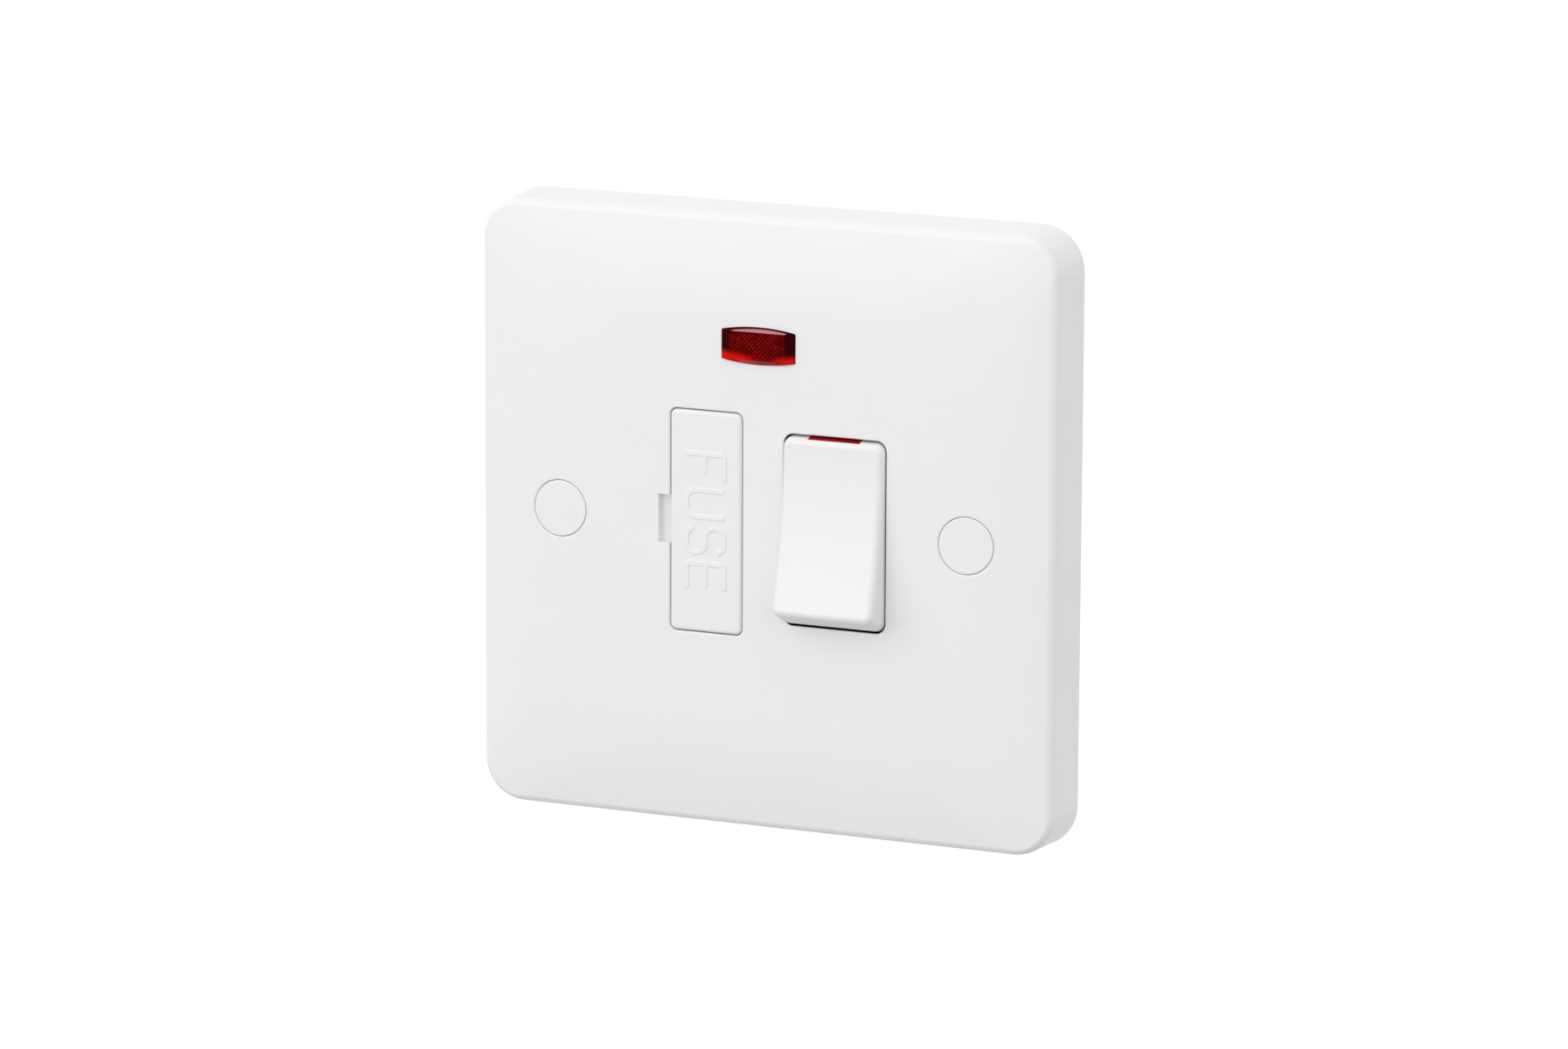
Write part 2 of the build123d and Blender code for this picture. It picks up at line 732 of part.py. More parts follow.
def make_terminal_screws():
    """Clamp screws, backed off clear of the conductor holes."""
    tip = conductor_y + conductor_hole / 2 + terminal_tip_lift
    head = terminal_rear + terminal_head_lift
    head_end = head + terminal_head_height
    screw = along_y(Circle(terminal_screw / 2), tip, head)
    screw += along_y(Circle(terminal_head / 2), head, head_end)
    depth = (head_end - screw_slot_depth, head_end)
    screw -= block(about(0, terminal_head), depth, about(0, screw_slot / 2))
    half_way = Pos(0, 0, terminal_length / 2)
    return [place * half_way * Pos(x, 0, 0) * screw for place, holes in terminals.values() for x in holes]


# Rear body and its screws

def neon_well():
    """Room for the bulb, its leads and the resistor."""
    low = lead_z - resistor_diameter / 2 - well_gap
    high = body_top - body_wall
    well = block(about(0, neon_well_width / 2), (body_front, neon_well_floor), (low, high))
    across = (0, poles["neutral"] + strip_width / 2)
    well += block(across, (body_front, neon_well_floor), (low, lead_z + resistor_diameter / 2 + well_gap))
    depth = (body_front, strip_front)
    well += block(about(poles["neutral"], lead_channel / 2), depth, (low, lead_z + lead_channel / 2))
    return well + block(about(link_lead_x, lead_channel / 2), depth, (clip_place, lead_z))


def switch_wells():
    """Room for the rocker, its bearings and each pole's contacts."""
    half = opening_width / 2 + ear_thickness + well_gap
    reach = opening_radius + well_gap
    wells = block(about(rocker_x, half), (body_front, rocker_well_floor), about(0, reach))
    for x in poles.values():
        pole_width = about(x, contact_width / 2 + pole_well_gap)
        wells += block(pole_width, (body_front, strip_front), about(0, reach))
    return wells


def fuse_wells():
    """Room for the fuse in its cradle and for the carrier's legs."""
    half = carrier_opening_width / 2 + well_gap
    middle = leg_inner - well_gap
    wells = block(about(fuse_x, half), (body_front, strip_front), about(0, middle))
    reach = leg_outer + barb_reach + well_gap
    leg_slot = about(fuse_x, leg_width / 2 + well_gap)
    return wells + block(leg_slot, (body_front, leg_end + well_gap), about(0, reach))


def strip_channels():
    """Grooves that the conductor strips lie in, open towards the face."""
    channels = Part()
    depth = (body_front, strip_rear)
    straight = [make_live_fixed_contact(), make_neutral_fixed_contact()]
    for piece in (*straight, *[make_pivot_bracket(pole) for pole in poles]):
        size = piece.bounding_box()
        x = (size.min.X - strip_gap, size.max.X + strip_gap)
        channels += block(x, depth, (size.min.Z - strip_gap, size.max.Z + strip_gap))
    right = fuse_x + fuse_diameter / 2 + strip_gap
    left = left_terminal_x - strip_width / 2 - strip_gap
    channels += block((left, right), depth, about(-clip_place, link_width / 2 + strip_gap))
    down = about(left_terminal_x, strip_width / 2 + strip_gap)
    return channels + block(down, depth, (terminal_bottom_z - strip_lap, -clip_place))


def terminal_cells():
    """Cells for the terminal blocks, with their wire entries and screw wells."""
    cells = Part()
    for place, holes in terminals.values():
        width = about(0, terminal_half(holes) + terminal_gap)
        length = (-terminal_gap, terminal_length + terminal_gap)
        cells += place * block(width, (body_front, terminal_rear), length)
        for x in holes:
            entry = Pos(x, conductor_y) * Circle(wire_entry / 2)
            cells += place * along_z(entry, terminal_length, terminal_length + terminal_gap + body_wall)
            well = along_y(Circle(screw_well / 2), terminal_rear, body_rear)
            cells += place * Pos(x, 0, terminal_length / 2) * well
    return cells


def rear_cores():
    """Pockets in the back that keep the floor under the contacts and clips an even thickness."""
    cores = Part()
    depth = (strip_rear + core_wall, body_rear)
    step = (core_length + core_rib) / 2
    for x in (*poles.values(), fuse_x):
        for z in (-step, step):
            pocket = RectangleRounded(core_width, core_length, core_corner)
            cores += Pos(x, 0, z) * along_y(pocket, depth[0], depth[1])
    return cores


def make_rear_body():
    """Moulded base that carries the terminals, contacts and fuse clips."""
    middle_z = (body_top + body_bottom) / 2
    outline = RectangleRounded(2 * body_half_width, body_top - body_bottom, body_corner)
    body = Pos(0, 0, middle_z) * along_y(outline, body_front, body_rear)
    body -= neon_well()
    body -= switch_wells()
    body -= fuse_wells()
    body -= strip_channels()
    body -= terminal_cells()
    body -= rear_cores()
    for x, z in body_screw_spots:
        body -= Pos(x, 0, z) * along_y(Circle(post_diameter / 2 + post_gap), body_front, post_end)
        body -= Pos(x, 0, z) * along_y(Circle(body_screw / 2 + body_screw_gap), post_end, body_screw_seat)
        body -= Pos(x, 0, z) * along_y(Circle(body_screw_pocket / 2), body_screw_seat, body_rear)

    for side in (-1, 1):
        ear = about(rocker_x + side * (opening_width + ear_thickness) / 2, ear_thickness / 2)
        finger = about(0, bearing_radius - finger_gap)
        body += block(ear, (pivot_y + bearing_radius, rocker_well_floor), finger)
        rib = about(side * bulb_rib_place, bulb_rib / 2)
        saddle = block(rib, (bulb_y, neon_well_floor), about(lens_z, bulb_diameter / 2 + bulb_wall))
        seat = along_x(Circle(bulb_diameter / 2 + bulb_seat_gap), rib[0], rib[1])
        body += saddle - Pos(0, bulb_y, lens_z) * seat
    return body


def make_body_screws():
    """Screws from the back of the body into the plate's posts."""
    seat = body_screw_seat
    head_end = seat + body_screw_head_height
    screw = along_y(Circle(body_screw / 2), seat - body_screw_length, seat)
    screw += along_y(Circle(body_screw_head / 2), seat, head_end)
    depth = (head_end - screw_slot_depth, head_end)
    for turn in (0, 90):
        slot = block(about(0, body_screw_recess / 2), depth, about(0, screw_slot / 2))
        screw -= Rot(0, turn, 0) * slot
    return [Pos(x, 0, z) * screw for x, z in body_screw_spots]


# Write one file for each piece

def save(name, shape):
    """Write one node, as one solid or as a group of separate solids."""
    solids = shape if isinstance(shape, list) else [shape]
    bodies = [solid for piece in solids for solid in piece.solids()]
    export_step(bodies[0] if len(bodies) == 1 else Compound(bodies), f"parts/{name}.step")


os.makedirs("parts", exist_ok=True)
save("front_plate", make_front_plate())
save("screw_cover_left", make_screw_cover(-1))
save("screw_cover_right", make_screw_cover(1))
save("rocker", rocker_place * make_rocker())
save("rocker_flag", rocker_place * make_flag())
save("plungers", [rocker_place * piece for piece in make_plungers()])
save("plunger_springs", [rocker_place * piece for piece in make_springs()])
for pole in poles:
    save(f"{pole}_moving_contact", make_moving_contact(pole))
    save(f"{pole}_moving_tip", make_moving_tip(pole))
    save(f"{pole}_pivot_bracket", make_pivot_bracket(pole))
save("fixed_contact_tips", make_fixed_tips())
save("live_fixed_contact", make_live_fixed_contact())
save("neutral_fixed_contact", make_neutral_fixed_contact())
save("load_live_strip", make_load_live_strip())
save("fuse_barrel", make_fuse_barrel())
save("fuse_end_caps", make_fuse_end_caps())
save("fuse_clip_upper", make_fuse_clip(clip_place))
save("fuse_clip_lower", make_fuse_clip(-clip_place))
save("fuse_carrier", make_fuse_carrier())
save("neon_lens", make_neon_lens())
save("neon_bulb", make_neon_bulb())
save("neon_electrodes", make_neon_electrodes())
save("neon_resistor", make_neon_resistor())
save("neon_leads", make_neon_leads())
for name, (place, holes) in terminals.items():
    save(name, make_terminal(place, holes))
save("terminal_screws", make_terminal_screws())
save("rear_body", make_rear_body())
save("body_screws", make_body_screws())
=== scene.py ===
"""Looks of a switched, fused connection unit: finishes, raised letters, studio and camera."""

import logging
import math
from collections.abc import Mapping, Sequence
from dataclasses import dataclass
from enum import Enum

import bmesh
import bpy
from mathutils import Matrix, Vector


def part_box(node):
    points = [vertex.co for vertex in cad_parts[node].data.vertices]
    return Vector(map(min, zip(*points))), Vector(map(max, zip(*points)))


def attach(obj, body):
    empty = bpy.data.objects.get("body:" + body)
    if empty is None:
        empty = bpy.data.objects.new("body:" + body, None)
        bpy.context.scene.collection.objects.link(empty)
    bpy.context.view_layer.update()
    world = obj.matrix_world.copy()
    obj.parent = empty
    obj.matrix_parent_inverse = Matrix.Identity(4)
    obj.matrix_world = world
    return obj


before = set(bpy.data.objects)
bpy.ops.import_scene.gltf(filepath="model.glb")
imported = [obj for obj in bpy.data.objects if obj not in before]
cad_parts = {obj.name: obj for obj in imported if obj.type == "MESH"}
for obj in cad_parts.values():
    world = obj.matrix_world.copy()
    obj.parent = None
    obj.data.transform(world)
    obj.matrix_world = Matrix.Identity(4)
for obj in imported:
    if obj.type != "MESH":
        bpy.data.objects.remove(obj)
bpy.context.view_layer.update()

LOG = logging.getLogger("fused_unit")
MM = 0.001
IMAGE_WIDTH = 1793
WHITE = "#FFFFFF"
# A Mix node's colour sockets go by number, because its sockets for other kinds of value have the same names.
MIX_SHARE, MIX_FIRST, MIX_SECOND, MIX_RESULT = 0, 6, 7, 2


def linear(code: str) -> tuple[float, float, float, float]:
    """Turn an sRGB hex colour into linear values.

    Args:
        code: A hash and six hex digits.

    Returns:
        Linear red, green and blue, and an alpha of 1.
    """
    shares = [int(code[at:at + 2], 16) / 255 for at in (1, 3, 5)]
    # The bend and the slopes are those of the sRGB standard.
    lit = [s / 12.92 if s <= 0.04045 else ((s + 0.055) / 1.055) ** 2.4 for s in shares]
    return lit[0], lit[1], lit[2], 1.0


def per_mm(size: float) -> float:
    """Give the pattern scale at which one repeat is so many millimetres."""
    return 1 / (size * MM)


def add_node(
    tree: bpy.types.NodeTree,
    kind: str,
    inputs: Mapping[str | int, object] | None = None,
    **settings: object,
) -> bpy.types.Node:
    """Add a node, set its properties, and set or link its inputs.

    Args:
        tree: The node tree that gets it.
        kind: Blender's name of the node type.
        inputs: A value, or a socket to link from, for each input's name, or for its number where names repeat.
        settings: The node's own properties.

    Returns:
        The new node.
    """
    node = tree.nodes.new(kind)
    for key, value in settings.items():
        setattr(node, key, value)
    for key, value in (inputs or {}).items():
        if isinstance(value, bpy.types.NodeSocket):
            tree.links.new(value, node.inputs[key])
        else:
            node.inputs[key].default_value = value
    return node


@dataclass(frozen=True)
class Finish:
    """A named surface. Each kind of finish adds its own nodes."""

    name: str

    def material(self) -> bpy.types.Material:
        """Make the material once, and hand out the same one after that.

        Returns:
            The Blender material.
        """
        made = bpy.data.materials.get(self.name)
        if made is None:
            made = bpy.data.materials.new(self.name)
            made.use_nodes = True
            self.shade(made.node_tree, made.node_tree.nodes["Principled BSDF"])
        return made

    def shade(self, tree: bpy.types.NodeTree, shader: bpy.types.Node) -> None:
        """Set up the shader; every kind of finish has its own way."""
        raise NotImplementedError


@dataclass(frozen=True)
class Moulding(Finish):
    """Opaque moulded plastic, lacquer or glaze with flow marks, uneven gloss and a slight orange peel."""

    colour: str
    flow_colour: str
    roughness: float
    gloss_spread: float = 0.02
    flow_mm: float = 9.0
    peel_mm: float = 0.8
    peel_height_mm: float = 0.003
    ior: float = 1.55

    def shade(self, tree: bpy.types.NodeTree, shader: bpy.types.Node) -> None:
        """Mottle the colour, vary the gloss and ripple the surface.

        Args:
            tree: The material's nodes.
            shader: Its shader.
        """
        place = add_node(tree, "ShaderNodeTexCoord").outputs["Object"]
        flow = add_node(tree, "ShaderNodeTexNoise", {
            "Vector": place, "Scale": per_mm(self.flow_mm), "Detail": 3.0,
        }).outputs["Fac"]
        peel = add_node(tree, "ShaderNodeTexNoise", {
            "Vector": place, "Scale": per_mm(self.peel_mm), "Detail": 2.0,
        }).outputs["Fac"]
        colour = add_node(tree, "ShaderNodeMix", {
            MIX_SHARE: flow, MIX_FIRST: linear(self.colour), MIX_SECOND: linear(self.flow_colour),
        }, data_type="RGBA").outputs[MIX_RESULT]
        gloss = add_node(tree, "ShaderNodeMapRange", {
            "Value": flow,
            "To Min": self.roughness - self.gloss_spread,
            "To Max": self.roughness + self.gloss_spread,
        }).outputs["Result"]
        ripple = add_node(tree, "ShaderNodeBump", {
            "Height": peel, "Distance": self.peel_height_mm * MM, "Strength": 1.0,
        }).outputs["Normal"]
        tree.links.new(colour, shader.inputs["Base Color"])
        tree.links.new(gloss, shader.inputs["Roughness"])
        tree.links.new(ripple, shader.inputs["Normal"])
        shader.inputs["IOR"].default_value = self.ior


@dataclass(frozen=True)
class PaintedWellShadeMoulding(Moulding):
    """Moulded plastic with painted shade on the walls of a deep well that little light gets into."""

    painted_well_shade: str = "#150E0A"
    # The box that holds the well's walls, where the shade is painted; it starts just behind the face.
    well_low: Vector = Vector((3.1, -9.82, -13.9)) * MM
    well_high: Vector = Vector((18.8, -7.4, 13.9)) * MM
    fade_mm: float = 0.15

    def shade(self, tree: bpy.types.NodeTree, shader: bpy.types.Node) -> None:
        """Mould the surface as usual, then paint shade on the walls of the well.

        Args:
            tree: The material's nodes.
            shader: Its shader.
        """
        super().shade(tree, shader)
        place = add_node(tree, "ShaderNodeTexCoord").outputs["Object"]
        above = add_node(tree, "ShaderNodeVectorMath", {
            0: place, 1: self.well_low,
        }, operation="SUBTRACT").outputs["Vector"]
        below = add_node(tree, "ShaderNodeVectorMath", {
            0: self.well_high, 1: place,
        }, operation="SUBTRACT").outputs["Vector"]
        nearest = add_node(tree, "ShaderNodeVectorMath", {0: above, 1: below}, operation="MINIMUM").outputs["Vector"]
        walls = add_node(tree, "ShaderNodeSeparateXYZ", {0: nearest}).outputs
        inside = add_node(tree, "ShaderNodeMath", {0: walls["X"], 1: walls["Y"]}, operation="MINIMUM").outputs[0]
        inside = add_node(tree, "ShaderNodeMath", {0: inside, 1: walls["Z"]}, operation="MINIMUM").outputs[0]
        # The painted shade grows to full strength over the first fade_mm inside the box.
        share = add_node(tree, "ShaderNodeMapRange", {
            "Value": inside, "From Max": self.fade_mm * MM,
        }).outputs["Result"]
        lit = shader.inputs["Base Color"].links[0].from_socket
        colour = add_node(tree, "ShaderNodeMix", {
            MIX_SHARE: share, MIX_FIRST: lit, MIX_SECOND: linear(self.painted_well_shade),
        }, data_type="RGBA").outputs[MIX_RESULT]
        tree.links.new(colour, shader.inputs["Base Color"])


@dataclass(frozen=True)
class Metal(Finish):
    """Bare or plated metal with drawn lines, stains and a broken gloss."""

    colour: str
    stain: str
    roughness: float
    gloss_spread: float
    # The tool's lines are finer than this on the real metal; they are drawn coarser, so that they show.
    line_mm: tuple[float, float, float]
    stain_mm: float = 3.0
    line_depth_mm: float = 0.004

    def shade(self, tree: bpy.types.NodeTree, shader: bpy.types.Node) -> None:
        """Stain the colour and score the surface along the drawing direction.

        Args:
            tree: The material's nodes.
            shader: Its shader.
        """
        place = add_node(tree, "ShaderNodeTexCoord").outputs["Object"]
        stains = add_node(tree, "ShaderNodeTexNoise", {
            "Vector": place, "Scale": per_mm(self.stain_mm), "Detail": 4.0,
        }).outputs["Fac"]
        along = add_node(tree, "ShaderNodeMapping", {
            "Vector": place, "Scale": [per_mm(size) for size in self.line_mm],
        }).outputs["Vector"]
        lines = add_node(tree, "ShaderNodeTexNoise", {
            "Vector": along, "Scale": 1.0, "Detail": 3.0,
        }).outputs["Fac"]
        colour = add_node(tree, "ShaderNodeMix", {
            MIX_SHARE: stains, MIX_FIRST: linear(self.colour), MIX_SECOND: linear(self.stain),
        }, data_type="RGBA").outputs[MIX_RESULT]
        gloss = add_node(tree, "ShaderNodeMapRange", {
            "Value": lines,
            "To Min": self.roughness - self.gloss_spread,
            "To Max": self.roughness + self.gloss_spread,
        }).outputs["Result"]
        scored = add_node(tree, "ShaderNodeBump", {
            "Height": lines, "Distance": self.line_depth_mm * MM, "Strength": 1.0,
        }).outputs["Normal"]
        tree.links.new(colour, shader.inputs["Base Color"])
        tree.links.new(gloss, shader.inputs["Roughness"])
        tree.links.new(scored, shader.inputs["Normal"])
        shader.inputs["Metallic"].default_value = 1.0


@dataclass(frozen=True)
class PrismLens(Finish):
    """Deep tinted plastic with painted light: beads with painted sparkle on the front, painted shade on the ends, a
    painted glow below and a painted reflection on the upper facet.
    """

    colour: str
    bead_sparkle_colour: str
    painted_end_shade: str
    painted_glow: str
    painted_reflection: str
    low: Vector
    high: Vector
    bow: float
    roughness: float
    sheen: float
    ior: float = 1.58
    # Beads on the front, drawn a little coarser than they are, so that they show, and fainter in patches. The beads
    # are a relief; their brighter red is painted sparkle.
    bead_mm: float = 0.43
    bead_height_mm: float = 0.02
    bead_turn: float = 45.0
    bead_jitter: float = 0.25
    bead_fade: tuple[float, float] = (0.5, 0.1)
    cloud_mm: float = 1.1
    cloud_fade: tuple[float, float] = (0.2, 0.7)
    # A painted glow along the lower edge, for light gathered there, dimmest at a place right of the middle.
    glow_mm: tuple[float, float] = (0.85, -0.6)
    glow_slant: float = 0.12
    dim_share: float = 0.6
    dim_mm: tuple[float, float] = (0.6, 3.4)
    dim_levels: tuple[float, float] = (0.25, 1.25)
    # The painted reflection on the pale upper facet with its dark rim, and a faint painted gleam on the middle of the
    # lower one.
    rim_mm: tuple[float, float] = (0.08, 0.16)
    rim_lean_mm: float = 0.35
    painted_reflection_start: tuple[float, float] = (0.12, 0.2)
    under_share: tuple[float, float] = (0.62, 0.4)
    under_level: float = 0.25
    # Ramps on a facet's normal, by which it counts as the front, an end, the upper or the under facet.
    front_facing: tuple[float, float] = (-0.96, -0.99)
    end_facing: tuple[float, float] = (0.15, 0.25)
    upper_facing: tuple[float, float] = (0.3, 0.5)
    under_facing: tuple[float, float] = (-0.3, -0.5)

    def shade(self, tree: bpy.types.NodeTree, shader: bpy.types.Node) -> None:
        """Paint light and shade on each facet by the way it faces and by its place, and bead the front.

        Args:
            tree: The material's nodes.
            shader: Its shader.
        """
        width = self.high.x - self.low.x
        middle = (self.low.x + self.high.x) / 2
        floor = self.low.z + self.bow
        # The upper and lower edges are arcs across the lens; this is their radius.
        arc = (width ** 2 / 4 + self.bow ** 2) / (2 * self.bow)
        place = add_node(tree, "ShaderNodeTexCoord").outputs["Object"]
        facing = add_node(tree, "ShaderNodeNewGeometry").outputs["Normal"]
        spot = add_node(tree, "ShaderNodeSeparateXYZ", {0: place}).outputs
        look = add_node(tree, "ShaderNodeSeparateXYZ", {0: facing}).outputs
        sideways = add_node(tree, "ShaderNodeMath", {0: look["X"]}, operation="ABSOLUTE").outputs[0]
        # Distances from the glow's dimmest place, from the middle, and from the centre of the bowed upper edge.
        gaps: list[bpy.types.NodeSocket] = []
        for axes, point in (
            ((1, 0, 0), (self.low.x + self.dim_share * width, 0, 0)),
            ((1, 0, 0), (middle, 0, 0)),
            ((1, 0, 1), (middle + self.rim_lean_mm * MM, 0, self.high.z - arc)),
        ):
            flat = add_node(tree, "ShaderNodeVectorMath", {0: place, 1: axes}, operation="MULTIPLY").outputs["Vector"]
            gap = add_node(tree, "ShaderNodeVectorMath", {0: flat, 1: point}, operation="DISTANCE").outputs["Value"]
            gaps.append(gap)
        from_dim, from_middle, from_arc = gaps
        turned = add_node(tree, "ShaderNodeMapping", {
            "Vector": place,
            "Rotation": (0.0, math.radians(self.bead_turn), 0.0),
            "Scale": (per_mm(self.bead_mm), 0.0, per_mm(self.bead_mm)),
        }).outputs["Vector"]
        spread = add_node(tree, "ShaderNodeTexVoronoi", {
            "Vector": turned, "Scale": 1.0, "Randomness": self.bead_jitter,
        }).outputs["Distance"]
        cloud = add_node(tree, "ShaderNodeTexNoise", {
            "Vector": place, "Scale": per_mm(self.cloud_mm), "Detail": 2.0,
        }).outputs["Fac"]
        # The painted glow is lowest to the right of the middle; it climbs and brightens towards both ends.
        height = add_node(tree, "ShaderNodeMath", {
            0: from_dim, 1: -self.glow_slant, 2: spot["Z"],
        }, operation="MULTIPLY_ADD").outputs[0]
        bright = add_node(tree, "ShaderNodeMapRange", {
            "Value": from_dim,
            "From Min": self.dim_mm[0] * MM,
            "From Max": self.dim_mm[1] * MM,
            "To Min": self.dim_levels[0],
            "To Max": self.dim_levels[1],
        }, interpolation_type="SMOOTHSTEP").outputs["Result"]
        # A layer is a colour, its greatest share, and the values whose ramps bound it. The upper facet gets a painted
        # reflection of the sky, all but a thin dark line along its bowed edge.
        layers = (
            # Painted sparkle: the beads' brighter red.
            (self.bead_sparkle_colour, 1.0, (
                (look["Y"], self.front_facing), (cloud, self.cloud_fade), (spread, self.bead_fade),
            )),
            # Painted shade: the ends go almost black.
            (self.painted_end_shade, 1.0, ((sideways, self.end_facing),)),
            # Painted glow: light gathered along the lower edge.
            (self.painted_glow, bright, ((height, [floor + size * MM for size in self.glow_mm]),)),
            (self.painted_reflection, 1.0, (
                (look["Z"], self.upper_facing),
                (from_arc, [arc - size * MM for size in self.rim_mm]),
                (spot["X"], [self.low.x + share * width for share in self.painted_reflection_start]),
            )),
            # A faint painted gleam on the middle of the lower facet.
            (self.painted_reflection, self.under_level, (
                (look["Z"], self.under_facing),
                (from_middle, [share * width / 2 for share in self.under_share]),
            )),
        )
        colour = linear(self.colour)
        shares: list[bpy.types.NodeSocket] = []
        for hue, share, ramps in layers:
            for value, (start, end) in ramps:
                share = add_node(tree, "ShaderNodeMapRange", {
                    "Value": value, "From Min": start, "From Max": end, "To Max": share,
                }, interpolation_type="SMOOTHSTEP").outputs["Result"]
            colour = add_node(tree, "ShaderNodeMix", {
                MIX_SHARE: share, MIX_FIRST: colour, MIX_SECOND: linear(hue),
            }, data_type="RGBA").outputs[MIX_RESULT]
            shares.append(share)
        beads = shares[0]
        raised = add_node(tree, "ShaderNodeBump", {
            "Height": beads, "Distance": self.bead_height_mm * MM, "Strength": 1.0,
        }).outputs["Normal"]
        tree.links.new(colour, shader.inputs["Base Color"])
        tree.links.new(raised, shader.inputs["Normal"])
        shader.inputs["Roughness"].default_value = self.roughness
        shader.inputs["Specular IOR Level"].default_value = self.sheen
        shader.inputs["IOR"].default_value = self.ior


@dataclass(frozen=True)
class DrawnGlass(Finish):
    """Thin drawn glass with soft waves along it."""

    colour: str
    smoky: str
    roughness: float
    wave_mm: float = 1.6
    wave_height_mm: float = 0.02
    ior: float = 1.52

    def shade(self, tree: bpy.types.NodeTree, shader: bpy.types.Node) -> None:
        """Make the glass clear, a little smoky in places, and wavy.

        Args:
            tree: The material's nodes.
            shader: Its shader.
        """
        place = add_node(tree, "ShaderNodeTexCoord").outputs["Object"]
        wave = add_node(tree, "ShaderNodeTexNoise", {
            "Vector": place, "Scale": per_mm(self.wave_mm), "Detail": 1.0,
        }).outputs["Fac"]
        colour = add_node(tree, "ShaderNodeMix", {
            MIX_SHARE: wave, MIX_FIRST: linear(self.colour), MIX_SECOND: linear(self.smoky),
        }, data_type="RGBA").outputs[MIX_RESULT]
        wavy = add_node(tree, "ShaderNodeBump", {
            "Height": wave, "Distance": self.wave_height_mm * MM, "Strength": 1.0,
        }).outputs["Normal"]
        tree.links.new(colour, shader.inputs["Base Color"])
        tree.links.new(wavy, shader.inputs["Normal"])
        shader.inputs["Roughness"].default_value = self.roughness
        shader.inputs["Transmission Weight"].default_value = 1.0
        shader.inputs["IOR"].default_value = self.ior


@dataclass(frozen=True)
class BandedLacquer(Finish):
    """Lacquer on a small part, with painted rings across one axis."""

    colour: str
    bands: tuple[str, ...]
    low: float
    high: float
    roughness: float
    speckle_mm: float = 0.3
    speckle_height_mm: float = 0.01

    def shade(self, tree: bpy.types.NodeTree, shader: bpy.types.Node) -> None:
        """Paint rings at even steps along X, and leave the lacquer a little lumpy.

        Args:
            tree: The material's nodes.
            shader: Its shader.
        """
        place = add_node(tree, "ShaderNodeTexCoord").outputs["Object"]
        across = add_node(tree, "ShaderNodeSeparateXYZ", {0: place}).outputs["X"]
        share = add_node(tree, "ShaderNodeMapRange", {
            "Value": across, "From Min": self.low, "From Max": self.high,
        }).outputs["Result"]
        rings = add_node(tree, "ShaderNodeValToRGB", {"Fac": share})
        rings.color_ramp.interpolation = "CONSTANT"
        rings.color_ramp.elements[0].color = linear(self.colour)
        rings.color_ramp.elements[1].color = linear(self.colour)
        step = 1 / (2 * len(self.bands) + 1)
        for index, band in enumerate(self.bands):
            start = (2 * index + 1) * step
            rings.color_ramp.elements.new(start).color = linear(band)
            rings.color_ramp.elements.new(start + step).color = linear(self.colour)
        lumps = add_node(tree, "ShaderNodeTexNoise", {
            "Vector": place, "Scale": per_mm(self.speckle_mm), "Detail": 2.0,
        }).outputs["Fac"]
        lumpy = add_node(tree, "ShaderNodeBump", {
            "Height": lumps, "Distance": self.speckle_height_mm * MM, "Strength": 1.0,
        }).outputs["Normal"]
        tree.links.new(rings.outputs["Color"], shader.inputs["Base Color"])
        tree.links.new(lumpy, shader.inputs["Normal"])
        shader.inputs["Roughness"].default_value = self.roughness


# Urea formaldehyde, pressed in a polished mould: dense neutral white with an even soft gloss. The rocker's well is
# too narrow and deep for light, so its walls get a painted brown-black shade.
PLATE_UREA = PaintedWellShadeMoulding("white urea, plate", "#F1F1F1", "#EEEEEE", roughness=0.3)
# The same urea from another batch: a touch warmer, as drawers and covers often are.
DRAWER_UREA = Moulding("white urea, drawer and covers", "#F1F1F0", "#EEEEED", roughness=0.3)
# Urea of the rocker: a shade deeper than the plate, so that the rocker stands apart from the face.
ROCKER_UREA = Moulding("white urea, rocker", "#EFEFEE", "#ECECEB", roughness=0.3)
# Urea base with a duller surface: its tool is not polished, so it looks chalky and even.
BASE_UREA = Moulding(
    "white urea, base", "#E6E5E0", "#DEDDD8", roughness=0.48, peel_mm=0.5, peel_height_mm=0.008,
)
# Red hot-stamped lacquer on the rocker's end: strong, smooth, slightly uneven red.
FLAG_LACQUER = Moulding("red lacquer", "#AE1219", "#9E0E14", roughness=0.3, flow_mm=2.0)
# Natural nylon: milky, waxy and soft-edged.
PLUNGER_NYLON = Moulding("natural nylon", "#E4DFD0", "#DAD4C3", roughness=0.42, flow_mm=3.0, ior=1.53)
# Steatite fuse barrel: glazed ceramic, off-white with a fine speckle.
FUSE_STEATITE = Moulding(
    "glazed steatite", "#EDE8DC", "#DFD8C8", roughness=0.22, flow_mm=0.6, peel_mm=0.3, ior=1.6,
)
# Soda glass of the neon lamp: clear, thin and wavy.
LAMP_GLASS = DrawnGlass("drawn soda glass", "#FAFBFA", "#E9ECEA", roughness=0.02)
# Rolled brass strip: warm yellow, fine rolling lines, brown stains in places.
CONTACT_BRASS = Metal(
    "rolled brass strip", "#D9B45C", "#B98F45", roughness=0.3, gloss_spread=0.08, line_mm=(0.15, 0.15, 4.0),
)
# Turned and drilled brass bar: paler, with rings from the tool.
TERMINAL_BRASS = Metal(
    "machined brass", "#DDBE6C", "#C39D52", roughness=0.26, gloss_spread=0.08, line_mm=(3.0, 0.2, 3.0),
)
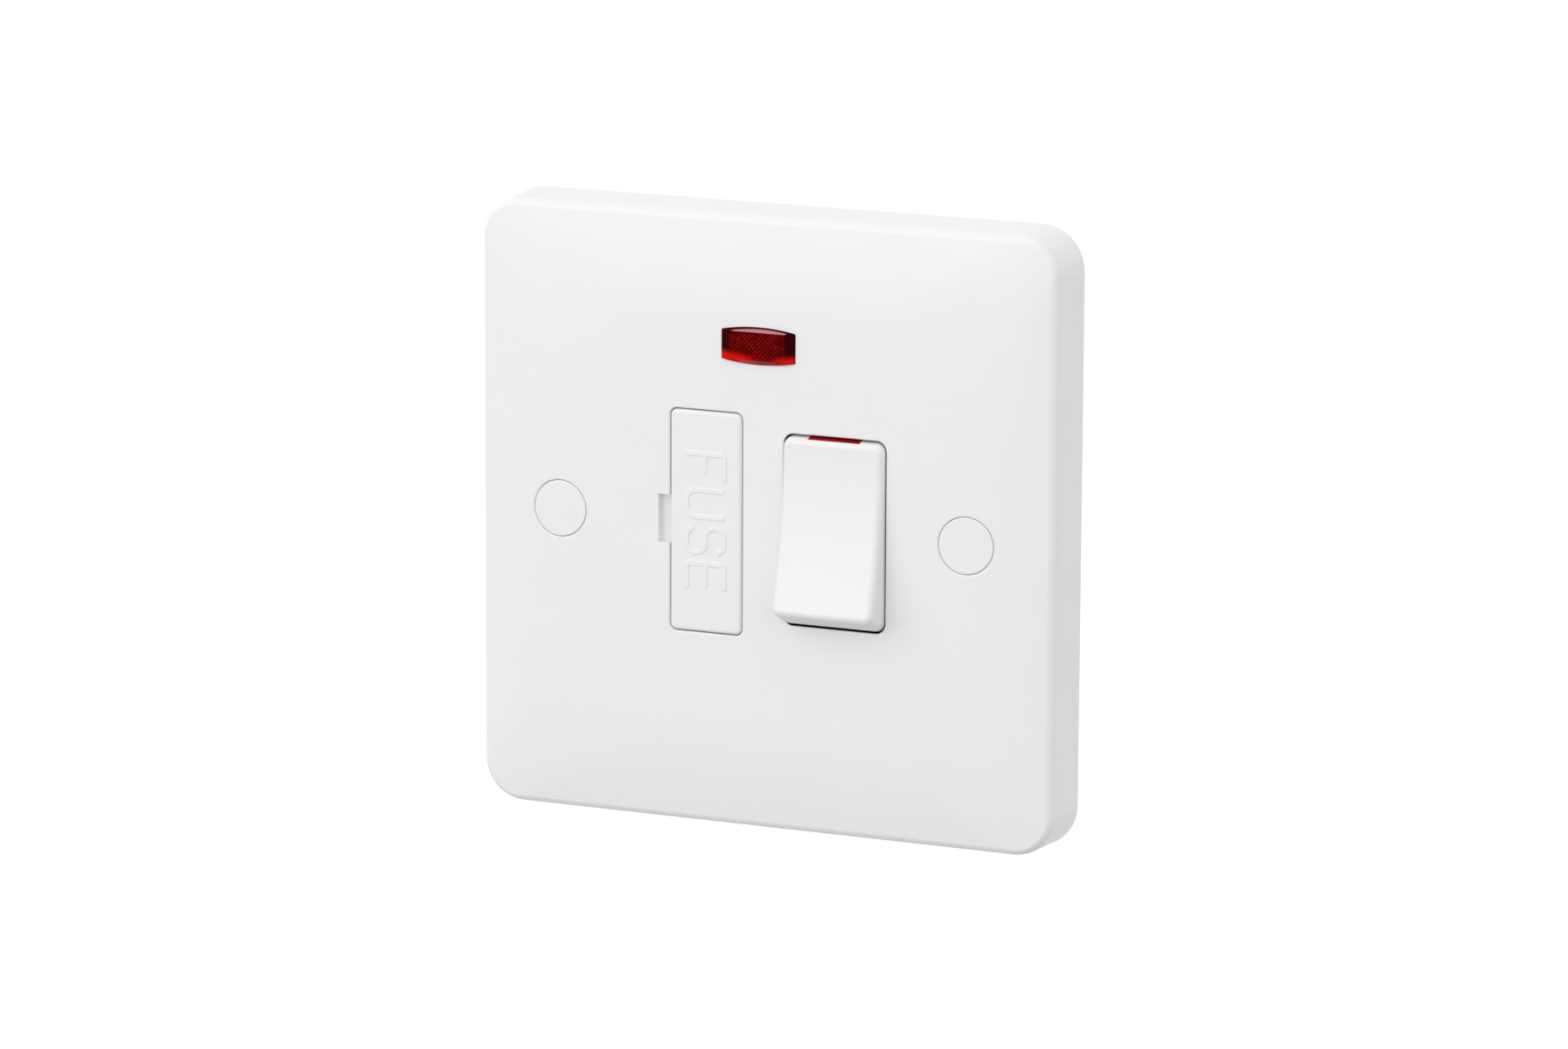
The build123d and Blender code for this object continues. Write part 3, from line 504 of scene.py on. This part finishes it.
# Silver alloy rivets: white, dull and a little sulphured.
TIP_SILVER = Metal(
    "silver contact alloy", "#E4E2DC", "#BDB7AA",
    roughness=0.34, gloss_spread=0.08, line_mm=(0.3, 0.3, 0.3), stain_mm=0.8,
)
# Hard drawn spring wire: blue-grey and smooth.
SPRING_STEEL = Metal(
    "spring steel wire", "#9A9CA0", "#77797E", roughness=0.3, gloss_spread=0.06, line_mm=(0.4, 0.4, 0.4),
)
# Zinc plated screws: bright grey with a faint yellow passivate.
SCREW_ZINC = Metal(
    "zinc plated steel", "#C9CACB", "#B3B2A6",
    roughness=0.32, gloss_spread=0.1, line_mm=(0.25, 0.25, 0.25), stain_mm=1.6,
)
# Nickel plated caps: warm white metal with a mirror that is slightly scuffed.
CAP_NICKEL = Metal(
    "nickel plate", "#D3CFC6", "#BBB6AB",
    roughness=0.18, gloss_spread=0.06, line_mm=(3.0, 3.0, 0.25), stain_mm=2.0,
)
# Bare nickel rods in the lamp: matt grey.
ELECTRODE_NICKEL = Metal(
    "bare nickel", "#A9A8A5", "#8C8B88",
    roughness=0.45, gloss_spread=0.06, line_mm=(0.3, 0.3, 0.3), stain_mm=0.8,
)
# Tinned copper leads: silvery, with copper showing through in the stains.
LEAD_COPPER = Metal(
    "tinned copper", "#C6C2BC", "#B58E72",
    roughness=0.36, gloss_spread=0.08, line_mm=(0.3, 0.3, 0.3), stain_mm=1.2,
)


class Body(Enum):
    """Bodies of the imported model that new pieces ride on."""

    UNIT = "unit"
    FUSE_DRAWER = "fuse_drawer"


class Slot(Enum):
    """The record's names for two material slots."""

    WHITE_UREA = "white_urea"
    BASE_UREA = "base_urea"


@dataclass(frozen=True)
class Run:
    """A straight part of a stroke."""

    length: float


@dataclass(frozen=True)
class Turn:
    """A curved part of a stroke; a positive angle turns left."""

    radius: float
    degrees: float


@dataclass(frozen=True)
class Stroke:
    """One ridge of a letter, in shares of the letter's height."""

    start: tuple[float, float]
    heading: float
    moves: tuple[Run | Turn, ...]


class Glyph(Enum):
    """Plain capital letters as (width, strokes), in shares of the letter's height."""

    F = (0.64, (
        Stroke((0, 0), 90, (Run(1),)),
        Stroke((0, 1), 0, (Run(0.64),)),
        Stroke((0, 0.48), 0, (Run(0.5),)),
    ))
    U = (0.66, (
        Stroke((0, 1), -90, (Run(0.76), Turn(0.24, 90), Run(0.18), Turn(0.24, 90), Run(0.76))),
    ))
    S = (0.63, (
        Stroke((0.615, 0.835), 110, (
            Turn(0.25, 70), Run(0.13), Turn(0.25, 180), Run(0.13), Turn(0.25, -180), Run(0.13), Turn(0.25, -70),
        )),
    ))
    E = (0.64, (
        Stroke((0, 0), 90, (Run(1),)),
        Stroke((0, 1), 0, (Run(0.64),)),
        Stroke((0, 0.5), 0, (Run(0.6),)),
        Stroke((0, 0), 0, (Run(0.64),)),
    ))
    L = (0.5, (Stroke((0, 1), -90, (Run(1),)), Stroke((0, 0), 0, (Run(0.5),))))
    N = (0.62, (
        Stroke((0, 0), 90, (Run(1),)),
        Stroke((0, 1), math.degrees(math.atan2(-1, 0.62)), (Run(math.hypot(1, 0.62)),)),
        Stroke((0.62, 0), 90, (Run(1),)),
    ))


@dataclass(frozen=True)
class RidgeLettering:
    """A word in low flat-topped ridges, as a cutter leaves it in a mould."""

    word: str
    height: float
    ridge: float
    spacing: float
    proud: float
    edge: float
    root: float = 0.1 * MM
    stagger: float = 0.004 * MM
    step_degrees: float = 9.0
    least_steps: int = 2
    sharp_degrees: float = 45.0
    edge_segments: int = 3

    def length(self) -> float:
        """Give the word's length between the middles of its outer strokes."""
        widths = [Glyph[letter].value[0] for letter in self.word]
        return self.height * sum(widths) + self.spacing * (len(widths) - 1)

    def mesh(self, place: Matrix) -> bpy.types.Mesh:
        """Draw the word centred on its own origin, then move it into place.

        Args:
            place: Where the word goes; it reads along X, and its ridges rise along Z.

        Returns:
            The word as one mesh.
        """
        bm = bmesh.new()
        corner = Vector((-self.length() / 2, -self.height / 2, 0))
        for letter in self.word:
            width, strokes = Glyph[letter].value
            for order, stroke in enumerate(strokes):
                # Each stroke is a hair lower than the one before, so that no two tops share a plane where they cross.
                self._draw(bm, stroke, corner, self.proud - order * self.stagger)
            corner.x += self.height * width + self.spacing
        # A section is left inside wherever a run hands over to a turn.
        inner = [face for face in bm.faces if all(len(edge.link_faces) > 2 for edge in face.edges)]
        bmesh.ops.delete(bm, geom=inner, context="FACES_ONLY")
        bmesh.ops.recalc_face_normals(bm, faces=bm.faces[:])
        sharp = [edge for edge in bm.edges if edge.calc_face_angle(0) > math.radians(self.sharp_degrees)]
        bmesh.ops.bevel(
            bm, geom=sharp, offset=self.edge, affect="EDGES", segments=self.edge_segments, profile=0.5, material=-1,
        )
        bmesh.ops.transform(bm, matrix=place, verts=bm.verts[:])
        made = bpy.data.meshes.new(f"lettering_{self.word}")
        bm.to_mesh(made)
        bm.free()
        return made

    def _draw(self, bm: bmesh.types.BMesh, stroke: Stroke, corner: Vector, top: float) -> None:
        """Push a square section along a stroke.

        Args:
            bm: The mesh that gets the ridge.
            stroke: What to draw.
            corner: The letter's lower left corner.
            top: How far the ridge stands up.
        """
        heading = math.radians(stroke.heading)
        depth = top + self.root
        tip = corner + Vector((*stroke.start, 0)) * self.height + Vector((0, 0, top - depth / 2))
        # The section stands across the stroke, on its flat side, as wide as the ridge and as deep as it goes.
        upright = Matrix.Rotation(heading, 4, "Z") @ Matrix.Rotation(math.pi / 2, 4, "Y")
        flat = Matrix.Diagonal((depth / self.ridge, 1, 1, 1)) @ Matrix.Rotation(math.pi / 4, 4, "Z")
        ring = bmesh.ops.create_circle(
            bm, cap_ends=True, segments=4, radius=self.ridge / math.sqrt(2),
            matrix=Matrix.Translation(tip) @ upright @ flat,
        )["verts"]
        head = ring[0].link_faces[0]
        for move in stroke.moves:
            if isinstance(move, Run):
                ahead = Vector((math.cos(heading), math.sin(heading), 0)) * move.length * self.height
                grown = bmesh.ops.extrude_face_region(bm, geom=[head])["geom"]
                moved = [item for item in grown if isinstance(item, bmesh.types.BMVert)]
                bmesh.ops.translate(bm, verts=moved, vec=ahead)
                tip = tip + ahead
            else:
                angle = math.radians(move.degrees)
                side = math.copysign(math.pi / 2, angle)
                outward = Vector((math.cos(heading + side), math.sin(heading + side), 0))
                centre = tip + outward * move.radius * self.height
                grown = bmesh.ops.spin(
                    bm, geom=[head], cent=centre, axis=(0, 0, 1), dvec=(0, 0, 0), angle=angle,
                    steps=max(self.least_steps, round(abs(move.degrees) / self.step_degrees)), use_duplicate=False,
                )["geom_last"]
                tip = centre + Matrix.Rotation(angle, 3, "Z") @ (tip - centre)
                heading += angle
            head = next(item for item in grown if isinstance(item, bmesh.types.BMFace))


def add_piece(name: str, mesh: bpy.types.Mesh, finish: Finish, body: Body) -> bpy.types.Object:
    """Put a new piece into the scene and let it ride on its body.

    Args:
        name: The piece's name.
        mesh: Its mesh, already in place.
        finish: What it is made of.
        body: What it moves with.

    Returns:
        The new object.
    """
    made = bpy.data.objects.new(name, mesh)
    mesh.materials.append(finish.material())
    bpy.context.scene.collection.objects.link(made)
    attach(made, body.value)
    LOG.info("made %s: %d faces on %s", name, len(mesh.polygons), body.value)
    return made


def dress_nodes(finishes: Mapping[str, Finish]) -> None:
    """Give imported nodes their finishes.

    Args:
        finishes: A finish for each node name.
    """
    for node, finish in finishes.items():
        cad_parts[node].material_slots[0].material = finish.material()
        LOG.info("dressed %s in %s", node, finish.name)


@dataclass(frozen=True)
class FacePlate:
    """The front plate with its two screw covers."""

    def dress(self) -> None:
        """Give the plate and its covers their white urea."""
        dress_nodes({
            "front_plate": PLATE_UREA,
            "screw_cover_left": DRAWER_UREA,
            "screw_cover_right": DRAWER_UREA,
        })


@dataclass(frozen=True)
class RockerSwitch:
    """The rocker, its sprung plungers and the rocking contacts that they press."""

    def dress(self) -> None:
        """Give the moving pieces and the contacts their finishes."""
        dress_nodes({
            "rocker": ROCKER_UREA,
            "rocker_flag": FLAG_LACQUER,
            "plungers": PLUNGER_NYLON,
            "plunger_springs": SPRING_STEEL,
            "live_moving_contact": CONTACT_BRASS,
            "neutral_moving_contact": CONTACT_BRASS,
            "live_moving_tip": TIP_SILVER,
            "neutral_moving_tip": TIP_SILVER,
            "live_pivot_bracket": CONTACT_BRASS,
            "neutral_pivot_bracket": CONTACT_BRASS,
            "fixed_contact_tips": TIP_SILVER,
            "live_fixed_contact": CONTACT_BRASS,
            "neutral_fixed_contact": CONTACT_BRASS,
        })


@dataclass(frozen=True)
class FuseDrawer:
    """The fuse drawer with its fuse, the clips that it plugs into, and its raised word."""

    word: RidgeLettering = RidgeLettering(
        "FUSE", height=5.6 * MM, ridge=0.66 * MM, spacing=1.5 * MM, proud=0.13 * MM, edge=0.09 * MM,
    )

    def build(self) -> None:
        """Raise the word on the drawer's face, reading downwards."""
        low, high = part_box("fuse_carrier")
        middle = Vector(((low.x + high.x) / 2, low.y, (low.z + high.z) / 2))
        # The word runs down the face, its letters' tops point right, and its ridges point forwards.
        turned = Matrix(((0, 1, 0), (0, 0, -1), (-1, 0, 0))).to_4x4()
        mesh = self.word.mesh(Matrix.Translation(middle) @ turned)
        add_piece("drawer_word", mesh, DRAWER_UREA, Body.FUSE_DRAWER)

    def dress(self) -> None:
        """Give the drawer, fuse and clips their finishes."""
        dress_nodes({
            "fuse_carrier": DRAWER_UREA,
            "fuse_barrel": FUSE_STEATITE,
            "fuse_end_caps": CAP_NICKEL,
            "fuse_clip_upper": CONTACT_BRASS,
            "fuse_clip_lower": CONTACT_BRASS,
            "load_live_strip": CONTACT_BRASS,
        })


@dataclass(frozen=True)
class NeonIndicator:
    """The red lens with the neon lamp, its resistor and its leads."""

    bands: tuple[str, ...] = ("#6B3A1E", "#17130F", "#D9A514", "#A67C2D")
    flange: float = 0.8 * MM
    bow: float = 0.56 * MM

    def dress(self) -> None:
        """Give the lens, lamp and resistor their finishes."""
        low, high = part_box("neon_resistor")
        # Carbon film resistor: tan lacquer with four painted rings.
        resistor = BandedLacquer(
            "tan resistor lacquer", "#C9A97C", bands=self.bands, low=low.x, high=high.x, roughness=0.35,
        )
        low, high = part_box("neon_lens")
        flange = Vector((self.flange, 0, self.flange))
        # Tinted polycarbonate in a deep red. Its almost black ends are painted shade, the light along its lower edge
        # is a painted glow, its pale upper facet and the gleam on its lower one are painted reflections, and its
        # beads carry painted sparkle. The beads on its front break up most of its sheen.
        lens = PrismLens(
            "red polycarbonate",
            colour="#4A0102",
            bead_sparkle_colour="#B00C08",
            painted_end_shade="#350203",
            painted_glow="#D4160B",
            painted_reflection="#BB7F84",
            low=low + flange,
            high=high - flange,
            bow=self.bow,
            roughness=0.15,
            sheen=0.012,
        )
        dress_nodes({
            "neon_lens": lens,
            "neon_bulb": LAMP_GLASS,
            "neon_electrodes": ELECTRODE_NICKEL,
            "neon_resistor": resistor,
            "neon_leads": LEAD_COPPER,
        })


@dataclass(frozen=True)
class TerminalBase:
    """The rear body with its terminals, screws and raised terminal letters."""

    height: float = 2.6 * MM
    ridge: float = 0.48 * MM
    proud: float = 0.2 * MM
    edge: float = 0.07 * MM
    clear: float = 5.6 * MM

    def build(self) -> None:
        """Raise one letter beside each terminal, to be read from behind."""
        marks = {
            "supply_live_terminal": ("L", Vector((0, 0, 1))),
            "supply_neutral_terminal": ("N", Vector((0, 0, 1))),
            "load_live_terminal": ("L", Vector((0, 0, 1))),
            "load_neutral_terminal": ("N", Vector((0, 0, -1))),
            "earth_terminal": ("E", Vector((1, 0, 0))),
        }
        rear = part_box("rear_body")[1].y
        # Seen from behind, a letter runs towards -X; its ridges point backwards.
        turned = Matrix(((-1, 0, 0), (0, 0, 1), (0, 1, 0))).to_4x4()
        for node, (letter, inward) in marks.items():
            low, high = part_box(node)
            middle = (low + high) / 2
            spot = Vector((middle.x, rear, middle.z)) + inward * self.clear
            word = RidgeLettering(
                letter, height=self.height, ridge=self.ridge, spacing=0.0, proud=self.proud, edge=self.edge,
            )
            mesh = word.mesh(Matrix.Translation(spot) @ turned)
            add_piece(f"{node}_letter", mesh, BASE_UREA, Body.UNIT)

    def dress(self) -> None:
        """Give the base, terminals and screws their finishes."""
        dress_nodes({
            "rear_body": BASE_UREA,
            "supply_live_terminal": TERMINAL_BRASS,
            "supply_neutral_terminal": TERMINAL_BRASS,
            "load_live_terminal": TERMINAL_BRASS,
            "load_neutral_terminal": TERMINAL_BRASS,
            "earth_terminal": TERMINAL_BRASS,
            "terminal_screws": SCREW_ZINC,
            "body_screws": SCREW_ZINC,
        })


def direction(azimuth: float, elevation: float) -> Vector:
    """Give the way out from the unit, with azimuth 0 in front of it, in degrees."""
    turn, rise = math.radians(azimuth), math.radians(elevation)
    return Vector((math.sin(turn) * math.cos(rise), -math.cos(turn) * math.cos(rise), math.sin(rise)))


@dataclass(frozen=True)
class SoftLamp:
    """A square soft box that looks at the unit."""

    name: str
    azimuth: float
    elevation: float
    distance: float
    side: float
    level: float

    def build(self) -> None:
        """Hang the lamp; its level is the brightness of a white sheet that faces it."""
        data = bpy.data.lights.new(self.name, "AREA")
        data.size = self.side
        # A sheet that faces the lamp gets watts / (pi * distance squared), and white sends back 1 / pi of that.
        data.energy = self.level * math.pi ** 2 * self.distance ** 2
        back = direction(self.azimuth, self.elevation)
        lamp = bpy.data.objects.new(self.name, data)
        lamp.location = back * self.distance
        lamp.rotation_euler = (-back).to_track_quat("-Z", "Y").to_euler()
        bpy.context.scene.collection.objects.link(lamp)
        LOG.info("hung %s", self.name)


def seen_rays(tree: bpy.types.NodeTree) -> bpy.types.NodeSocket:
    """Tell rays that are seen, straight, mirrored or through glass, from those that light.

    Args:
        tree: The nodes that need it.

    Returns:
        A socket that is 1 for a seen ray and 0 for the others.
    """
    path = add_node(tree, "ShaderNodeLightPath").outputs
    mirrored = add_node(tree, "ShaderNodeMath", {
        0: path["Is Camera Ray"], 1: path["Is Glossy Ray"],
    }, operation="MAXIMUM").outputs[0]
    return add_node(tree, "ShaderNodeMath", {
        0: mirrored, 1: path["Is Transmission Ray"],
    }, operation="MAXIMUM").outputs[0]


@dataclass(frozen=True)
class PaleFloor(Finish):
    """Pale paper sweep that looks white to the camera and still takes a shadow."""

    colour: str = "#ACACAD"
    lift: float = 0.7
    gloss: tuple[float, float] = (0.85, 0.95)
    # Far coarser than paper's own mottle, so that it shows.
    fibre_mm: float = 40.0

    def shade(self, tree: bpy.types.NodeTree, shader: bpy.types.Node) -> None:
        """Let the paper glow for seen rays only, and mottle it faintly.

        Args:
            tree: The material's nodes.
            shader: Its shader.
        """
        seen = seen_rays(tree)
        place = add_node(tree, "ShaderNodeTexCoord").outputs["Object"]
        fibre = add_node(tree, "ShaderNodeTexNoise", {"Vector": place, "Scale": per_mm(self.fibre_mm)}).outputs["Fac"]
        gloss = add_node(tree, "ShaderNodeMapRange", {
            "Value": fibre, "To Min": self.gloss[0], "To Max": self.gloss[1],
        }).outputs["Result"]
        glow = add_node(tree, "ShaderNodeMapRange", {"Value": seen, "To Max": self.lift}).outputs["Result"]
        tree.links.new(gloss, shader.inputs["Roughness"])
        tree.links.new(glow, shader.inputs["Emission Strength"])
        shader.inputs["Base Color"].default_value = linear(self.colour)
        shader.inputs["Emission Color"].default_value = linear(WHITE)
        shader.inputs["Specular IOR Level"].default_value = 0.0


@dataclass(frozen=True)
class Studio:
    """A pale floor, a soft sky and two soft boxes."""

    floor_drop: float = 0.12
    floor_side: float = 6.0
    sky: float = 0.872
    lamps: Sequence[SoftLamp] = (
        SoftLamp("key_box", azimuth=-34, elevation=17, distance=1.3, side=1.5, level=0.446),
        SoftLamp("fill_box", azimuth=45, elevation=15, distance=1.6, side=1.2, level=0.095),
    )

    def build(self) -> None:
        """Lay the floor, light the sky and hang the lamps."""
        bm = bmesh.new()
        bmesh.ops.create_grid(bm, x_segments=1, y_segments=1, size=self.floor_side / 2)
        bmesh.ops.translate(bm, verts=bm.verts[:], vec=(0, 0, -self.floor_drop))
        mesh = bpy.data.meshes.new("floor")
        bm.to_mesh(mesh)
        bm.free()
        mesh.materials.append(PaleFloor("pale paper sweep").material())
        floor = bpy.data.objects.new("floor", mesh)
        bpy.context.scene.collection.objects.link(floor)
        LOG.info("laid %s", floor.name)
        self._light_sky()
        for lamp in self.lamps:
            lamp.build()

    def _light_sky(self) -> None:
        """Make the sky white to the camera and softer as a light."""
        world = bpy.data.worlds.new("soft white sky")
        world.use_nodes = True
        sky = world.node_tree.nodes["Background"]
        strength = add_node(world.node_tree, "ShaderNodeMapRange", {
            "Value": seen_rays(world.node_tree), "To Min": self.sky, "To Max": 1.0,
        }).outputs["Result"]
        world.node_tree.links.new(strength, sky.inputs["Strength"])
        sky.inputs["Color"].default_value = linear(WHITE)
        bpy.context.scene.world = world


@dataclass(frozen=True)
class ViewCamera:
    """A long lens a metre away, a little above the unit and to its right."""

    azimuth: float = 23.59
    elevation: float = 11.81
    roll: float = 0.27
    distance: float = 1.0
    focal_pixels: float = 8363.0
    sensor: float = 36.0
    aim_right: float = 1.25 * MM
    aim_up: float = -0.58 * MM
    aim_depth: float = -5.0 * MM

    def build(self) -> None:
        """Make the camera and set it as the scene's own."""
        turn = math.radians(self.azimuth)
        aim = Vector((self.aim_right * math.cos(turn), self.aim_depth + self.aim_right * math.sin(turn), self.aim_up))
        back = direction(self.azimuth, self.elevation)
        data = bpy.data.cameras.new("view_camera")
        data.sensor_width = self.sensor
        data.lens = self.focal_pixels / IMAGE_WIDTH * self.sensor
        camera = bpy.data.objects.new("view_camera", data)
        facing = (-back).to_track_quat("-Z", "Y").to_matrix().to_4x4()
        rolled = facing @ Matrix.Rotation(math.radians(self.roll), 4, "Z")
        camera.matrix_world = Matrix.Translation(aim + back * self.distance) @ rolled
        bpy.context.scene.collection.objects.link(camera)
        bpy.context.scene.camera = camera
        LOG.info("set %s", camera.name)


def main() -> None:
    """Build and dress the sub-assemblies, then the studio and the camera."""
    logging.basicConfig(level=logging.INFO, format="%(name)s %(message)s")
    drawer = FuseDrawer()
    base = TerminalBase()
    drawer.build()
    base.build()
    for assembly in (FacePlate(), RockerSwitch(), drawer, NeonIndicator(), base):
        assembly.dress()
    Studio().build()
    ViewCamera().build()
    bpy.context.scene.view_settings.view_transform = "Standard"


if __name__ == "__main__":
    main()
